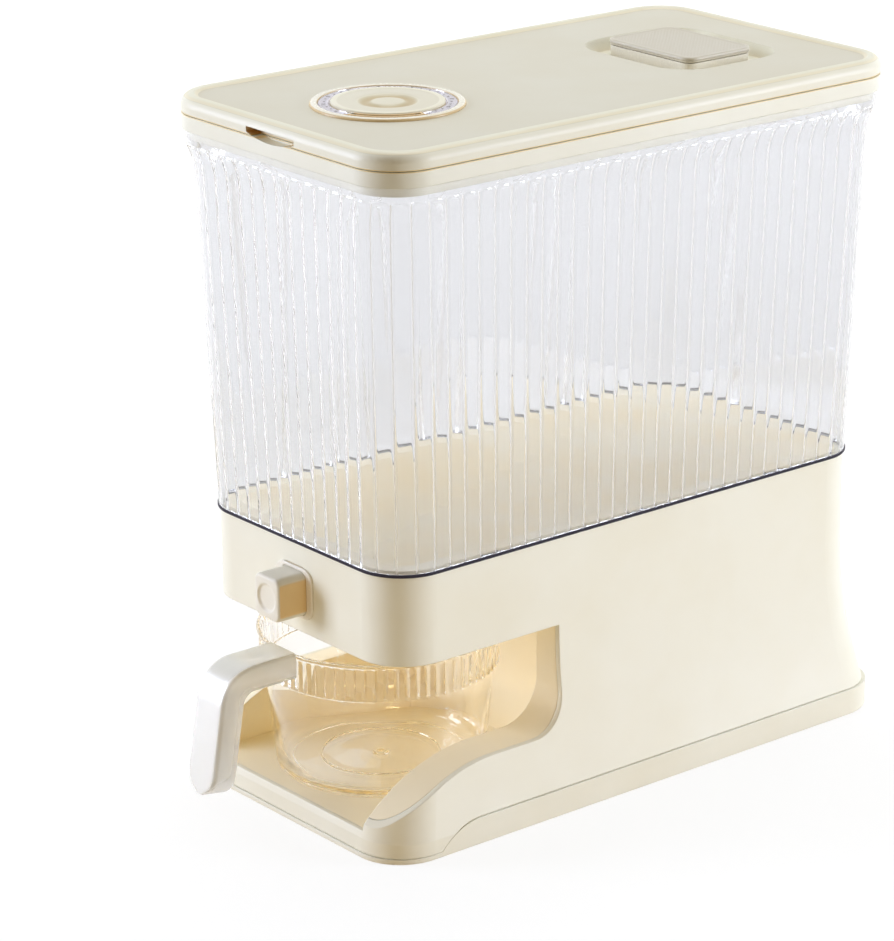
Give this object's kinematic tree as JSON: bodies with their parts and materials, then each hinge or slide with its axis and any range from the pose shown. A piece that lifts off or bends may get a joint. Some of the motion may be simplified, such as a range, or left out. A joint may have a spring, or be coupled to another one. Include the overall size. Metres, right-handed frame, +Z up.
{
  "type": "rice dispenser",
  "caption": "Countertop rice dispenser: ribbed clear tank with hinged lid on a flared base, push-button gate above a measuring cup in an open bay.",
  "frame": {"origin": "centre of the standing face under the base, on the plane the dispenser stands on", "axes": "+Z up, -Y towards the front with the button and the cup, +X to the right of someone looking from behind"},
  "size_m": [0.1906, 0.4085, 0.378],
  "materials": {
    "ivory_plastic": "satin moulded",
    "ivory_gloss": "semi-gloss",
    "hopper_plastic": "satin moulded",
    "dial_ivory": "matt",
    "foot_rubber": "matt",
    "seal_rubber": "matt",
    "dark_rubber": "matt",
    "screw_steel": "plated",
    "spring_steel": "bright",
    "clear_plastic": "clear ribbed",
    "cup_plastic": "clear",
    "pack_fabric": "paper cloth"
  },
  "bodies": {
    "base": {"base_shell": "ivory_plastic", "bay_liner": "ivory_plastic", "bottom_plate": "ivory_plastic", "foot_pads": "foot_rubber", "base_screws": "screw_steel", "hopper": "hopper_plastic", "outlet_chute": "hopper_plastic", "chute_screws": "screw_steel", "button_bezel": "ivory_gloss", "tank": "clear_plastic", "tank_gasket": "dark_rubber", "lid_frame": "ivory_plastic", "hinge_pins": "screw_steel"},
    "button": {"push_button": "ivory_gloss", "gate_slide": "ivory_plastic", "return_spring": "spring_steel"},
    "lid": {"lid": "ivory_plastic", "lid_seal": "seal_rubber", "dial_bezel": "ivory_gloss", "dial_plate": "dial_ivory", "dial_window": "clear_plastic"},
    "dial": {"dial_knob": "ivory_gloss", "knob_clip": "spring_steel"},
    "moisture_box": {"desiccant_box": "ivory_plastic", "desiccant_pack": "pack_fabric", "desiccant_cap": "ivory_gloss"},
    "cup": {"measuring_cup": "cup_plastic"}
  },
  "joints": [
    {"name": "button_press", "type": "slide", "parent": "base", "child": "button", "axis": [0, 1, 0], "range_m": [0, 0.014], "stiffness_N_per_m": 300, "springref_m": -0.004, "deforming": ["return_spring"]},
    {"name": "lid_hinge", "type": "hinge", "parent": "base", "child": "lid", "pos_m": [0, 0.17055, 0.3716], "axis": [-1, 0, 0], "range_deg": [0, 95]},
    {"name": "dial_turn", "type": "hinge", "parent": "lid", "child": "dial", "pos_m": [0, -0.1004, 0.3746], "axis": [0, 0, 1], "continuous": true},
    {"name": "moisture_box_lift", "type": "slide", "parent": "lid", "child": "moisture_box", "axis": [0, 0, 1], "range_m": [0, 0.06]},
    {"name": "cup_pull", "type": "slide", "parent": "base", "child": "cup", "axis": [0, -1, 0], "range_m": [0, 0.2]}
  ]
}
